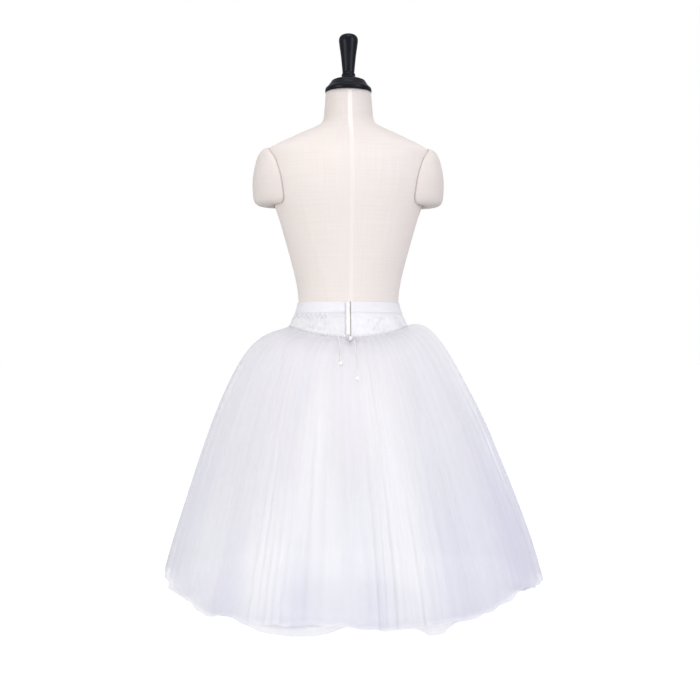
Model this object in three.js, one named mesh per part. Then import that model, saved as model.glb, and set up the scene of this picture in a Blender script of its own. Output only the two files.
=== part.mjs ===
// A romantic-length rehearsal skirt on a limbless dress form.
//
// Millimetres, +Z up. The origin is on the floor under the stand's middle. The centre-back opening faces
// -Y, the wearer's left is -X and the wearer's front is +Y. Angles run from centre back (0) towards the
// wearer's right (+X).
import * as THREE from "three";

// ---------------------------------------------------------------- driving dimensions

const WAIST_HEIGHT = 660; // top edge of the waistband above the floor
const CLOTH_CLEARANCE = 0.7; // between the form and the cloth on it
const SEAM_GAP = 0.3; // between pieces that are sewn edge to edge
const ARM_GAP = 1.5; // between the form and its padded arm plates

const BAND_HEIGHT = 24;
const BAND_WALL = 1.6;
const BASQUE_WALL = 1.4;
const OPENING_WIDTH = 3.5; // the slit down the centre back
const SIDE_BACK_SEAM = THREE.MathUtils.degToRad(52);

const SEAM_BELOW_WAIST = 52; // where the outer tulle leaves the basque, at the sides
const SEAM_DIP = 26; // how much lower the same seam runs at centre back and centre front
const HEM_DIP = 20; // how much lower the hem runs there
const SLIT_SINK = 8; // the tulle sags into the foot of the opening
const SLIT_SPREAD = 0.11; // radians either side of centre back
const BASQUE_UNDERLAP = 38; // how far the basque runs on down under the tulle
const TULLE_WALL = 1.6;
const TULLE_SEAT = 0.4; // least gap between the tulle and the basque
const SEAM_FLATTENING = 32; // half-width less half-depth of the skirt at its seam
const SEAM_HOLD = 0.16; // share of its length over which a tulle layer is still drawn in by its seam
const PUFF = { tilt: 7.5, lift: 2.5, at: 0.06 }; // the sides' puff under the seam, higher on the right
const HEM_TILT = 5; // the hem hangs lower on the right and higher on the left by this much

const POLE_RADIUS = 15;
const TIE_DIAMETER = 2.2;
const AROUND = 2 * Math.PI;

// The form's level sections. above: from the waistband's top edge; half: half-width; back and front: depth
// from the axis.
const FORM_SECTIONS = [
  { above: 472, half: 51, back: 46, front: 58 },
  { above: 434, half: 54, back: 53, front: 56 },
  { above: 411, half: 57, back: 60, front: 54 },
  { above: 400, half: 64, back: 66, front: 55 },
  { above: 389, half: 84, back: 73, front: 58 },
  { above: 378, half: 110, back: 79, front: 61 },
  { above: 366, half: 136, back: 83, front: 65 },
  { above: 354, half: 162, back: 86, front: 69 },
  { above: 339, half: 184, back: 89, front: 75 },
  { above: 310, half: 184, back: 93, front: 87 },
  { above: 280, half: 181, back: 95, front: 99 },
  { above: 245, half: 174, back: 95, front: 111 },
  { above: 215, half: 165, back: 93, front: 118 },
  { above: 186, half: 155, back: 90, front: 117 },
  { above: 141, half: 142, back: 86, front: 109 },
  { above: 96, half: 129.5, back: 82, front: 99 },
  { above: 51, half: 118.5, back: 79, front: 91 },
  { above: 22, half: 113.5, back: 78, front: 88 },
  { above: 0, half: 112.5, back: 78.5, front: 88 },
  { above: -24, half: 118.5, back: 82.5, front: 90.5 },
  { above: -39, half: 125.5, back: 87, front: 93 },
  { above: -52, half: 130, back: 91, front: 95 },
  { above: -78, half: 138.5, back: 98, front: 98 },
  { above: -110, half: 147.5, back: 105, front: 100 },
  { above: -150, half: 156, back: 112, front: 101.5 },
  { above: -200, half: 162, back: 117, front: 101 },
  { above: -260, half: 163, back: 115, front: 98 },
  { above: -340, half: 157, back: 104, front: 93 },
  { above: -411, half: 151.5, back: 98, front: 90.5 },
];

// The arm plates' level sections. out: the plate's distance from the axis; deep: half its depth.
const ARM_SECTIONS = [
  { above: 346, out: 184, deep: 12 },
  { above: 339, out: 196, deep: 28 },
  { above: 325, out: 205, deep: 40 },
  { above: 310, out: 210, deep: 47 },
  { above: 280, out: 216, deep: 54 },
  { above: 245, out: 216, deep: 54 },
  { above: 227, out: 213, deep: 51 },
  { above: 217, out: 206, deep: 45 },
];

// Turned pieces: radius and height above the form's flat neck, or above the cap.
const NECK_CAP_PROFILE = [
  { radius: 52, up: 0.3 },
  { radius: 52.5, up: 8 },
  { radius: 50, up: 11.5 },
  { radius: 42, up: 21 },
  { radius: 39.5, up: 22 },
  { radius: 38.5, up: 26 },
  { radius: 31.5, up: 29.5 },
];
const FINIAL_PROFILE = [
  { radius: 21, up: 29.8 },
  { radius: 18.5, up: 33.5 },
  { radius: 15.8, up: 36 },
  { radius: 15.8, up: 41 },
  { radius: 13.6, up: 46 },
  { radius: 15.2, up: 64 },
  { radius: 17.6, up: 86 },
  { radius: 20.6, up: 108 },
  { radius: 21.6, up: 117 },
  { radius: 20.4, up: 124 },
  { radius: 15, up: 130 },
  { radius: 7, up: 132.6 },
];

// The stand's base: radius and height above the floor.
const BASE_PROFILE = [
  { radius: 150, up: 0 },
  { radius: 150, up: 8 },
  { radius: 36, up: 12 },
  { radius: 28, up: 15 },
  { radius: 24, up: 34 },
];

// The outer tulle's side line over its fold crests. below: from its seam; reach: from the axis; lean:
// towards +X.
const SKIRT_SECTIONS = [
  { below: 0, reach: 132, lean: 0 },
  { below: 5, reach: 160, lean: -1 },
  { below: 13, reach: 181, lean: -2 },
  { below: 32, reach: 206, lean: -4 },
  { below: 54, reach: 225, lean: -4.5 },
  { below: 88, reach: 247, lean: -4.5 },
  { below: 143, reach: 276, lean: -3 },
  { below: 209, reach: 306, lean: 0 },
  { below: 296, reach: 340, lean: 3 },
  { below: 382, reach: 371, lean: 6 },
  { below: 469, reach: 401, lean: 8 },
  { below: 548, reach: 424, lean: 9 },
];

// The tulle layers, outermost first. folds: gathers round the skirt; per: points that draw each; under:
// inside the outer layer at the seam, a third down and at the hem; longer: than the outer layer; deep: fold
// height at the seam and the hem.
const OUTER_ROWS = [0, 0.05, 0.12, 0.22, 0.37, 0.64, 1];
const INNER_ROWS = [0, 0.08, 0.2, 0.46, 1];
const TULLE_LAYERS = [
  { folds: 62, per: 3, rows: OUTER_ROWS, under: [0, 0, 0], longer: 0, deep: [1.3, 6] },
  { folds: 46, per: 2, rows: INNER_ROWS, under: [8.5, 12, 13.5], longer: 0, deep: [1.1, 4.5] },
  { folds: 44, per: 2, rows: INNER_ROWS, under: [17, 24, 26], longer: -2, deep: [1.1, 4.5] },
  { folds: 42, per: 2, rows: INNER_ROWS, under: [25.5, 36, 38.5], longer: -6, deep: [1.1, 4.5] },
];
const PEEKING_LAYER = 2; // its hem shows under the outer one here and there

// Waves round the skirt that make it uneven: their size and how many there are. Crowding is in radians and
// the hem's wander in mm.
const FOLD_CROWDING = [
  { size: 0.03, turns: 7 },
  { size: 0.018, turns: 13 },
];
const HEM_WANDER = [
  { size: 1.5, turns: 3 },
  { size: 1.5, turns: 8 },
];

// Broad folds that all layers share. at and wide: degrees; rise: mm at the hem, less than 0 in a trough.
const MAIN_FOLDS = [
  { at: -166, wide: 8, rise: -7 },
  { at: -140, wide: 8, rise: -6 },
  { at: -115, wide: 8, rise: -7 },
  { at: -92, wide: 7, rise: -5 },
  { at: -70, wide: 6, rise: -6 },
  { at: -46, wide: 6, rise: -6 },
  { at: -20, wide: 6, rise: -7 },
  { at: 7, wide: 6, rise: -5 },
  { at: 35, wide: 6.5, rise: -7 },
  { at: 60, wide: 7, rise: -5 },
  { at: 95, wide: 7, rise: -6 },
  { at: 114, wide: 7, rise: -5 },
  { at: 131, wide: 7, rise: -7 },
  { at: 156, wide: 8, rise: -5 },
  { at: 178, wide: 6, rise: 4 },
];
// Where every layer's hem rises or sinks. at and wide: degrees; lift: mm.
const HEM_LIFTS = [
  { at: -150, wide: 12, lift: 8 },
  { at: -118, wide: 9, lift: -6 },
  { at: -84, wide: 7, lift: 13 },
  { at: -68, wide: 5, lift: -9 },
  { at: -48, wide: 8, lift: -16 },
  { at: -30, wide: 10, lift: -10 },
  { at: -8, wide: 6, lift: 6 },
  { at: 53, wide: 11, lift: 20 },
  { at: 112, wide: 10, lift: 10 },
  { at: 140, wide: 9, lift: -5 },
];
// Where the second layer's hem shows. at and wide: degrees; drop: mm.
const HEM_PEEKS = [
  { at: -130, wide: 8, drop: 12 },
  { at: -18.5, wide: 9.5, drop: 13 },
  { at: 21.5, wide: 6, drop: 16 },
  { at: 95, wide: 6, drop: 9 },
  { at: 150, wide: 9, drop: 13 },
];
const FOLD_UNEVENNESS = 0.26; // how much a fold's height varies round the skirt

// The two ties' routes: out of the seam beside the opening, over the puffed tulle and down it.
const TIE_LEFT_ROUTE = [
  [-26, -101.5, 585],
  [-26, -104.5, 583.4],
  [-25.9, -109, 581.4],
  [-25.8, -115, 579.8],
  [-25.7, -121, 578.4],
  [-25.6, -127.5, 576.8],
  [-25.5, -134, 574.8],
  [-25.4, -140, 572],
  [-25.3, -146, 568.5],
  [-25.2, -152.5, 564.8],
  [-25.1, -160.5, 560.8],
  [-25, -170, 556],
  [-24.9, -178.7, 551.2],
  [-24.8, -184.5, 546],
  [-24.7, -190.3, 541],
  [-24.6, -197, 535.4],
  [-24.5, -202.9, 530.2],
];
const TIE_RIGHT_ROUTE = [
  [7, -103, 580.5],
  [7, -105.5, 578.6],
  [7.1, -109.5, 577],
  [7.1, -116, 575.8],
  [7.2, -123, 574.8],
  [7.2, -130.5, 573.6],
  [7.3, -137.5, 572],
  [7.4, -144, 568.8],
  [7.4, -151, 565.3],
  [7.5, -159.5, 561.3],
  [7.6, -168.5, 556.8],
  [7.6, -178, 551.8],
  [7.7, -184, 546.5],
  [7.8, -188.5, 541.5],
  [7.9, -193, 536.5],
  [8, -197.5, 531.5],
  [8, -202, 526.5],
  [8.1, -206.5, 521.5],
  [8.2, -211.5, 516.5],
  [8.3, -217, 511.5],
  [8.3, -222.6, 506.4],
  [8.4, -227.1, 500.6],
];
const TIE_STEP = 2.5 * TIE_DIAMETER;
const TIE_KNOT = { round: 4.4, long: 6 };
const OPENING_TACK = { at: [0.3, -106.4, 579.2], wide: 4.5, deep: 4, tall: 6.5 };

// ---------------------------------------------------------------- materials

function paint(color, roughness, metalness = 0) {
  return new THREE.MeshStandardMaterial({ color, roughness, metalness });
}
const LINEN = paint(0xeadfd9, 0.85);
const BLACK_LACQUER = paint(0x11141a, 0.25);
const WHITE_ENAMEL = paint(0xe9e9e9, 0.4);
const BAND_CLOTH = paint(0xe9e8ee, 0.8);
const BASQUE_CLOTH = paint(0xf2f1f3, 0.8);
const TULLE = paint(0xececf6, 0.7);
const TIE_CORD = paint(0xf1efe8, 0.6);

// ---------------------------------------------------------------- shape helpers

// A column of a table of sections at any height between its rows.
function sectionAt(sections, key, above) {
  const last = sections.length - 1;
  if (above >= sections[0].above) return sections[0][key];
  if (above <= sections[last].above) return sections[last][key];
  const lower = sections.findIndex((row) => row.above <= above);
  const [high, low] = [sections[lower - 1], sections[lower]];
  const share = (high.above - above) / (high.above - low.above);
  return THREE.MathUtils.lerp(high[key], low[key], share);
}

// A point of the form's surface at an angle and height, moved out by some millimetres.
function onForm(angle, above, out = 0) {
  const half = sectionAt(FORM_SECTIONS, "half", above) + out;
  const depthKey = Math.cos(angle) > 0 ? "back" : "front";
  const depth = sectionAt(FORM_SECTIONS, depthKey, above) + out;
  return new THREE.Vector3(half * Math.sin(angle), -depth * Math.cos(angle), WAIST_HEIGHT + above);
}

function geometryOf(points, index) {
  const geometry = new THREE.BufferGeometry().setFromPoints(points);
  geometry.setIndex(index);
  geometry.computeVertexNormals();
  return geometry;
}

const addQuad = (index, a, b, c, d) => index.push(a, b, c, a, c, d);

// A closed solid through level rings, top ring first, each anticlockwise from above.
function loft(rings) {
  const count = rings[0].length;
  const points = rings.flat();
  const index = [];
  const id = (ring, i) => ring * count + (i % count);
  for (let ring = 0; ring + 1 < rings.length; ring++) {
    for (let i = 0; i < count; i++)
      addQuad(index, id(ring, i), id(ring + 1, i), id(ring + 1, i + 1), id(ring, i + 1));
  }
  const bottom = rings.length - 1;
  const middles = [rings[0], rings[bottom]].map((ring) =>
    ring.reduce((sum, p) => sum.add(p), new THREE.Vector3()).divideScalar(count),
  );
  const topId = points.push(middles[0]) - 1;
  const bottomId = points.push(middles[1]) - 1;
  for (let i = 0; i < count; i++) {
    index.push(topId, id(0, i), id(0, i + 1));
    index.push(bottomId, id(bottom, i + 1), id(bottom, i));
  }
  return geometryOf(points, index);
}

// A cloth wall: place(column, row, side) gives its points, side 0 inside and 1 outside, columns anticlockwise
// from above and rows downwards. A closed wall joins its last column to its first; an open one gets two more
// edges.
function wall({ columns, rows, closed, place }) {
  const points = [];
  const index = [];
  const made = closed ? columns : columns + 1;
  for (let column = 0; column < made; column++) {
    for (let row = 0; row < rows; row++) points.push(place(column, row, 0), place(column, row, 1));
  }
  const id = (column, row, side) => ((column % made) * rows + row) * 2 + side;
  const end = rows - 1;
  for (let c = 0; c < columns; c++) {
    for (let r = 0; r < end; r++) {
      addQuad(index, id(c, r, 1), id(c, r + 1, 1), id(c + 1, r + 1, 1), id(c + 1, r, 1));
      addQuad(index, id(c, r, 0), id(c + 1, r, 0), id(c + 1, r + 1, 0), id(c, r + 1, 0));
    }
    addQuad(index, id(c, 0, 1), id(c + 1, 0, 1), id(c + 1, 0, 0), id(c, 0, 0));
    addQuad(index, id(c, end, 1), id(c, end, 0), id(c + 1, end, 0), id(c + 1, end, 1));
  }
  for (let r = 0; r < end && !closed; r++) {
    addQuad(index, id(0, r, 1), id(0, r, 0), id(0, r + 1, 0), id(0, r + 1, 1));
    addQuad(index, id(columns, r, 1), id(columns, r + 1, 1), id(columns, r + 1, 0), id(columns, r, 0));
  }
  return geometryOf(points, index);
}

// A solid of revolution about +Z, from its radii and heights.
function turned(profile, bottom, segments) {
  const line = profile.map(({ radius, up }) => new THREE.Vector2(radius, bottom + up));
  line.unshift(new THREE.Vector2(0, line[0].y));
  line.push(new THREE.Vector2(0, line[line.length - 1].y));
  return new THREE.LatheGeometry(line, segments).rotateX(Math.PI / 2);
}

const group = new THREE.Group();

function addPiece(name, geometry, material) {
  const mesh = new THREE.Mesh(geometry, material);
  mesh.name = name;
  group.add(mesh);
  return mesh;
}

// ---------------------------------------------------------------- the dress form and its stand

const FORM_COLUMNS = 36;
const neckHeight = WAIST_HEIGHT + FORM_SECTIONS[0].above;
const formFoot = WAIST_HEIGHT + FORM_SECTIONS[FORM_SECTIONS.length - 1].above;

function formTorso() {
  const rings = FORM_SECTIONS.map(({ above }) =>
    Array.from({ length: FORM_COLUMNS }, (_, i) => onForm((AROUND * i) / FORM_COLUMNS, above)),
  );
  return loft(rings);
}

// One padded arm plate: its inner side follows the form's armhole and its outer side is a half ellipse.
function armPlate(side) {
  const innerSteps = 9;
  const outerSteps = 7;
  const rings = ARM_SECTIONS.map(({ above, out, deep }) => {
    const half = sectionAt(FORM_SECTIONS, "half", above) + ARM_GAP;
    const edgeOf = (key) => Math.asin(deep / (sectionAt(FORM_SECTIONS, key, above) + ARM_GAP));
    const [backEdge, frontEdge] = [edgeOf("back"), edgeOf("front")];
    const ring = [];
    for (let i = 0; i < outerSteps; i++) {
      const turn = Math.PI * (i / outerSteps) - Math.PI / 2;
      const seam = half * Math.cos(turn < 0 ? backEdge : frontEdge);
      const reach = seam + (out - seam) * Math.cos(turn);
      ring.push(new THREE.Vector3(reach, deep * Math.sin(turn), WAIST_HEIGHT + above));
    }
    for (let i = 0; i < innerSteps; i++) {
      const angle = Math.PI / 2 + frontEdge - ((frontEdge + backEdge) * i) / innerSteps;
      ring.push(onForm(angle, above, ARM_GAP));
    }
    return ring;
  });
  if (side < 0) for (const ring of rings) ring.reverse().forEach((p) => (p.x = -p.x));
  return loft(rings);
}

addPiece("form_torso", formTorso(), LINEN);
addPiece("arm_plate_left", armPlate(-1), LINEN);
addPiece("arm_plate_right", armPlate(1), LINEN);
addPiece("neck_cap", turned(NECK_CAP_PROFILE, neckHeight, 28), BLACK_LACQUER);
addPiece("finial", turned(FINIAL_PROFILE, neckHeight, 20), BLACK_LACQUER);

const poleProfile = [
  { radius: POLE_RADIUS, up: BASE_PROFILE[BASE_PROFILE.length - 1].up + SEAM_GAP },
  { radius: POLE_RADIUS, up: formFoot - SEAM_GAP },
];
addPiece("stand_base", turned(BASE_PROFILE, 0, 36), WHITE_ENAMEL);
addPiece("stand_pole", turned(poleProfile, 0, 16), WHITE_ENAMEL);

// ---------------------------------------------------------------- waistband, basque and opening

const basqueOut = CLOTH_CLEARANCE + BASQUE_WALL;
const bandOut = CLOTH_CLEARANCE + BAND_WALL;
const bulge = (angle) => Math.cos(angle) ** 2; // 1 at centre back and centre front, 0 at the sides
const seamAbove = (angle) => -SEAM_BELOW_WAIST - SEAM_DIP * bulge(angle);

// The angle at which a straight edge beside the opening meets a given height.
function openingAngle(above, fromMiddle) {
  return Math.asin(fromMiddle / sectionAt(FORM_SECTIONS, "half", above));
}

const halfOpening = OPENING_WIDTH / 2;

// The form's own section heights between the waistband and the foot of the opening.
const hipLevels = FORM_SECTIONS.map(({ above }) => above).filter(
  (above) => above < -BAND_HEIGHT && above >= -SEAM_BELOW_WAIST - SEAM_DIP,
);

function waistband() {
  const columns = 56;
  return wall({
    columns,
    rows: 2,
    closed: false,
    place: (column, row, side) => {
      const above = -BAND_HEIGHT * row;
      const start = openingAngle(above, halfOpening);
      const angle = start + ((AROUND - 2 * start) * column) / columns;
      return onForm(angle, above, side ? bandOut : CLOTH_CLEARANCE);
    },
  });
}

// One panel of the basque, between two edges given as functions of height.
function basquePanel(columns, startAt, endAt) {
  const levels = [-BAND_HEIGHT - SEAM_GAP, ...hipLevels];
  return wall({
    columns,
    rows: levels.length + 1,
    closed: false,
    place: (column, row, side) => {
      const share = column / columns;
      const atSeam = THREE.MathUtils.lerp(startAt(-SEAM_BELOW_WAIST), endAt(-SEAM_BELOW_WAIST), share);
      const above = row < levels.length ? levels[row] : seamAbove(atSeam) - BASQUE_UNDERLAP;
      const angle = THREE.MathUtils.lerp(startAt(above), endAt(above), share);
      return onForm(angle, above, side ? basqueOut : CLOTH_CLEARANCE);
    },
  });
}

// The edges of the basque's panels, as functions of height.
const halfSeam = (above) => SEAM_GAP / sectionAt(FORM_SECTIONS, "half", above) / 2;
const openingRight = (above) => openingAngle(above, halfOpening);
const openingLeft = (above) => AROUND - openingRight(above);
const backRight = (above) => SIDE_BACK_SEAM - halfSeam(above);
const backLeft = (above) => AROUND - backRight(above);
const frontRight = (above) => SIDE_BACK_SEAM + halfSeam(above);
const frontLeft = (above) => AROUND - frontRight(above);

addPiece("waistband", waistband(), BAND_CLOTH);
addPiece("basque_back_right", basquePanel(9, openingRight, backRight), BASQUE_CLOTH);
addPiece("basque_back_left", basquePanel(9, backLeft, openingLeft), BASQUE_CLOTH);
addPiece("basque_front", basquePanel(38, frontRight, frontLeft), BASQUE_CLOTH);

// The folded edge strip that is sewn on down the opening's left side.
const PLACKET = { width: 9, wall: 1.2, overOpening: 0.5, top: -0.6, bottom: -73 };

function placketStrip() {
  const between = hipLevels.filter((above) => above > PLACKET.bottom);
  const levels = [PLACKET.top, -BAND_HEIGHT, ...between, PLACKET.bottom];
  const columns = 2;
  return wall({
    columns,
    rows: levels.length,
    closed: false,
    place: (column, row, side) => {
      const inner = openingAngle(levels[row], halfOpening - PLACKET.overOpening);
      const outer = openingAngle(levels[row], halfOpening + PLACKET.width);
      const angle = AROUND - THREE.MathUtils.lerp(outer, inner, column / columns);
      return onForm(angle, levels[row], bandOut + SEAM_GAP + (side ? PLACKET.wall : 0));
    },
  });
}

addPiece("placket_strip", placketStrip(), BASQUE_CLOTH);

// ---------------------------------------------------------------- the tulle

const skirtLine = new THREE.CatmullRomCurve3(
  SKIRT_SECTIONS.map(({ below, reach, lean }) => new THREE.Vector3(reach, lean, -below)),
  false,
  "centripetal",
);
const OUTER = TULLE_LAYERS[0];
const seatOut = basqueOut + TULLE_SEAT;

// The side line at a share of its length from the seam, with its outward direction.
function sideLine(share) {
  const { x: reach, y: lean, z: rise } = skirtLine.getPointAt(share);
  const tangent = skirtLine.getTangentAt(share);
  const slope = Math.hypot(tangent.x, tangent.z);
  return { reach, lean, rise, outX: -tangent.z / slope, outZ: tangent.x / slope };
}

// Linear through three values: at the seam, a third of the way down and at the hem.
function byThird([seam, third, hem], share) {
  if (share < 1 / 3) return THREE.MathUtils.lerp(seam, third, share * 3);
  return THREE.MathUtils.lerp(third, hem, share * 1.5 - 0.5);
}

// A sum of waves round the skirt, out of step from layer to layer.
const sumOfWaves = (waves, number, angle) =>
  waves.reduce((sum, { size, turns }, i) => sum + size * Math.sin(turns * angle + (i + 1) * number), 0);

// A gather's height, -1 to 1: crests a whole number of columns apart, uneven in height round the skirt.
function gather(number, layer, column) {
  const angle = (AROUND * column) / (layer.folds * layer.per);
  const drift = Math.sin(5 * angle + 2 * number) * Math.cos(3 * angle - number);
  return (1 - FOLD_UNEVENNESS + FOLD_UNEVENNESS * drift) * Math.cos((AROUND * column) / layer.per);
}

// Columns crowd together and spread apart a little, so that no two folds are the same width.
function unevenAngle(number, share) {
  const angle = AROUND * share;
  return angle + sumOfWaves(FOLD_CROWDING, number, angle);
}

// 1 at an angle and 0 well away from it; a higher power makes the top flatter.
function near(angle, centre, width, power = 2) {
  const away = Math.atan2(Math.sin(angle - centre), Math.cos(angle - centre));
  return Math.exp(-(Math.abs(away / width) ** power));
}

// The sum of a table's column over its rows, each as wide as the row says.
function sumOfBumps(rows, key, angle, power) {
  const radians = THREE.MathUtils.degToRad;
  const bump = ({ at, wide }) => near(angle, radians(at), radians(wide), power);
  return rows.reduce((sum, row) => sum + row[key] * bump(row), 0);
}

// How far the tulle sags into the foot of the opening.
const slitSink = (angle) => SLIT_SINK * near(angle, 0, SLIT_SPREAD);

// How far the tulle puffs up just under its seam, at the sides.
function puff(angle, share) {
  const side = Math.sin(angle);
  const rise = (share / PUFF.at) * Math.exp(1 - share / PUFF.at);
  return rise * (PUFF.tilt * side ** 3 + PUFF.lift * side ** 2);
}

// How much lower a layer's hem hangs than the side line.
function hemDrop(number, layer, angle) {
  const peek = number === PEEKING_LAYER ? sumOfBumps(HEM_PEEKS, "drop", angle, 4) : 0;
  const wander = sumOfWaves(HEM_WANDER, number, angle) + HEM_TILT * Math.sin(angle);
  return layer.longer + wander + peek - sumOfBumps(HEM_LIFTS, "lift", angle);
}

// A point of a tulle layer: share is 0 at its seam and 1 at its hem, wave is the gather's, inward goes into
// the wall.
function onTulle(number, layer, angle, share, wave, inward) {
  const here = sideLine(share);
  const seam = sideLine(0);
  const grown = Math.sqrt(share);
  const crest = THREE.MathUtils.lerp(OUTER.deep[0], OUTER.deep[1], grown);
  const fold = THREE.MathUtils.lerp(layer.deep[0], layer.deep[1], grown) * wave;
  const broad = sumOfBumps(MAIN_FOLDS, "rise", angle) * share;
  const out = fold + broad - crest - byThird(layer.under, share) - inward;
  const sink = slitSink(angle) * (1 - share) ** 6;
  const dip = THREE.MathUtils.lerp(SEAM_DIP, HEM_DIP, share) * bulge(angle) + sink;
  const lengthen = share ** 2 * hemDrop(number, layer, angle);
  const drop = SEAM_BELOW_WAIST + dip + lengthen * here.outX - puff(angle, share);
  const above = here.rise - drop + here.outZ * out;
  // The line starts where this layer's seam lies on the basque, and frees itself below it.
  const seamOut = -OUTER.deep[0] - layer.under[0];
  const seamLevel = seamAbove(angle) - slitSink(angle) + seam.outZ * seamOut;
  const held = Math.max(0, 1 - share / SEAM_HOLD) ** 2;
  const radius = (key, flattening) => {
    const onSeam = sectionAt(FORM_SECTIONS, key, seamLevel) + seatOut;
    const shift = onSeam - (seam.reach - flattening + seam.outX * seamOut);
    const drape = here.reach + lengthen * here.outZ - flattening * (1 - share) ** 2;
    const free = drape + here.outX * out + held * shift;
    return Math.max(free, sectionAt(FORM_SECTIONS, key, above) + seatOut);
  };
  const half = radius("half", 0);
  const depth = radius(Math.cos(angle) > 0 ? "back" : "front", SEAM_FLATTENING);
  const across = here.lean + half * Math.sin(angle);
  return new THREE.Vector3(across, -depth * Math.cos(angle), WAIST_HEIGHT + above);
}

function tulleLayer(number, layer) {
  const columns = layer.folds * layer.per;
  return wall({
    columns,
    rows: layer.rows.length,
    closed: true,
    place: (column, row, side) => {
      const angle = unevenAngle(number, column / columns);
      const inward = side ? 0 : TULLE_WALL;
      return onTulle(number, layer, angle, layer.rows[row], gather(number, layer, column), inward);
    },
  });
}

TULLE_LAYERS.forEach((layer, i) => addPiece(`tulle_layer_${i + 1}`, tulleLayer(i + 1, layer), TULLE));

// ---------------------------------------------------------------- the tack and the ties

// A round knot of thread or cord, from its three half sizes.
function pebble(wide, deep, tall) {
  return new THREE.SphereGeometry(1, 10, 7).rotateX(Math.PI / 2).scale(wide, deep, tall);
}

// A round cord along a route, with a knot on its far end.
function addTie(side, route) {
  const path = new THREE.CatmullRomCurve3(
    route.map((p) => new THREE.Vector3(...p)),
    false,
    "centripetal",
  );
  const sides = 8;
  const section = Array.from({ length: sides }, (_, i) => {
    const turn = (AROUND * i) / sides;
    return new THREE.Vector2(Math.cos(turn), Math.sin(turn)).multiplyScalar(TIE_DIAMETER / 2);
  });
  const steps = Math.round(path.getLength() / TIE_STEP);
  const tube = new THREE.ExtrudeGeometry(new THREE.Shape(section), { steps, extrudePath: path });
  addPiece(`tie_${side}`, tube, TIE_CORD);
  const ball = pebble(TIE_KNOT.round, TIE_KNOT.round, TIE_KNOT.long);
  const knot = addPiece(`tie_knot_${side}`, ball, TIE_CORD);
  const onward = path.getTangentAt(1);
  knot.quaternion.setFromUnitVectors(new THREE.Vector3(0, 0, -1), onward);
  knot.position.copy(path.getPointAt(1)).addScaledVector(onward, TIE_KNOT.long + SEAM_GAP);
}

const tackThread = pebble(OPENING_TACK.wide, OPENING_TACK.deep, OPENING_TACK.tall);
const tack = addPiece("opening_tack", tackThread, TIE_CORD);
tack.position.set(...OPENING_TACK.at);
addTie("left", TIE_LEFT_ROUTE);
addTie("right", TIE_RIGHT_ROUTE);

export default group;
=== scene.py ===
"""The looks of a tulle rehearsal skirt on a limbless dress form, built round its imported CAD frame.

Lengths are in millimetres until a mesh is made, which is in metres. Angles run round the skirt from
centre back (0, towards -Y) to the wearer's right (+X). share runs down the tulle, 0 at its seam and
1 at its hem.
"""

import math

import bpy
import numpy as np
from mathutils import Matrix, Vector


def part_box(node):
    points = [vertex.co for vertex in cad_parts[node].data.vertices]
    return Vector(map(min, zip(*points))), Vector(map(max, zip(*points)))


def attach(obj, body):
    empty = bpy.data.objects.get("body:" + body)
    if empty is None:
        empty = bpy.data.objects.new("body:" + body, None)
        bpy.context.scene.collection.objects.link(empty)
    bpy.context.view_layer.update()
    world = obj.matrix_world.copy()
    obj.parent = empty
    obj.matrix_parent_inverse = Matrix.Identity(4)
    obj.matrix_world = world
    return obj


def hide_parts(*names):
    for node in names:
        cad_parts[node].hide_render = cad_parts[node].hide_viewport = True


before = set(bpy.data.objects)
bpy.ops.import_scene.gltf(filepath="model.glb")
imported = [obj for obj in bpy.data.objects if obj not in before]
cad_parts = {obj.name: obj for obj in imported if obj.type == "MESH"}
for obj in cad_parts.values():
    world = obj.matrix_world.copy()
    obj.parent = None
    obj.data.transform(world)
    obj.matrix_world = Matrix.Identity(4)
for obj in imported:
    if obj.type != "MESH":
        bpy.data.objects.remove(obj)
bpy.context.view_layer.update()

MM = 0.001
AROUND = 2 * math.pi

# ---- sizes that repeat the part's own

CLOTH_CLEARANCE = 0.7
SEAM_GAP = 0.3
BAND_WALL = 1.6
BASQUE_WALL = 1.4
OPENING_WIDTH = 3.5
OPENING_LENGTH = 84
SIDE_BACK_SEAM = math.radians(52)
SEAM_BELOW_WAIST = 52
SEAM_DIP = 26
HEM_DIP = 20
SLIT_SINK = 8
SLIT_SPREAD = 0.11
BASQUE_UNDERLAP = 38
SEAM_FLATTENING = 32
SEAM_HOLD = 0.16
TULLE_SEAT = 0.4
TIE_DIAMETER = 2.2

# The outer tulle's side line: below its seam, reach from the axis, lean towards +X.
SKIRT_SECTIONS = [
    (0, 132, 0), (5, 160, -1), (13, 181, -2), (32, 206, -4), (54, 225, -4.5), (88, 247, -4.5),
    (143, 276, -3), (209, 306, 0), (296, 340, 3), (382, 371, 6), (469, 401, 8), (548, 424, 9),
]
CREST = (1.3, 6)  # height of the outer layer's folds at its seam and its hem

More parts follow.
